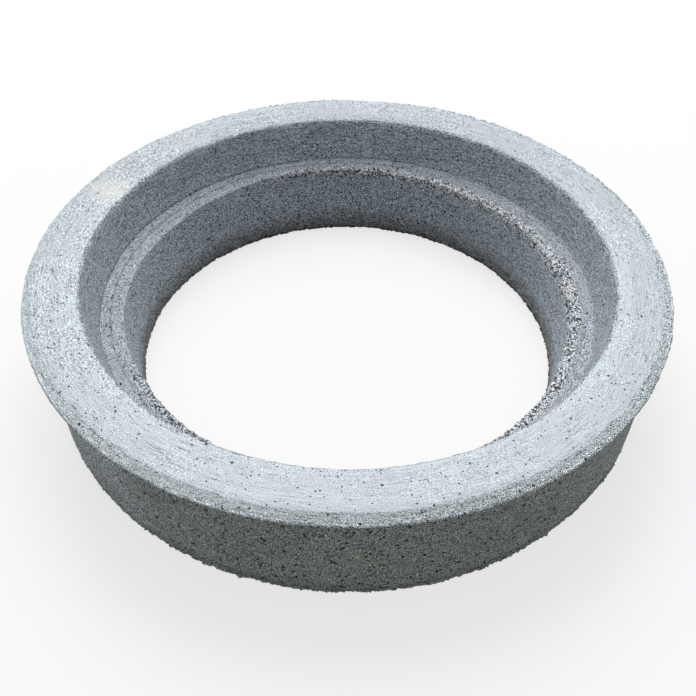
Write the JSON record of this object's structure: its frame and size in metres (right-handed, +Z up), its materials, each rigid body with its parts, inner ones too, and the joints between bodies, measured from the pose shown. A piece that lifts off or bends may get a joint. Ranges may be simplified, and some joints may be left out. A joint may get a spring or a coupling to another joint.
{
  "type": "concrete culvert ring",
  "caption": "Short one-piece concrete ring with a bevelled rim, a tapered socket, a stepped ledge and a tapered through bore.",
  "frame": {"origin": "centre of the base, on the plane that the ring stands on", "axes": "+Z up along the ring's axis, out of the socket; +X and +Y across the ring"},
  "size_m": [0.884, 0.884, 0.173],
  "materials": {
    "cast_concrete": "dry-cast concrete, matt, trowelled on the rim, with open pores"
  },
  "bodies": {
    "root": {"culvert_ring": "cast_concrete"}
  },
  "joints": []
}
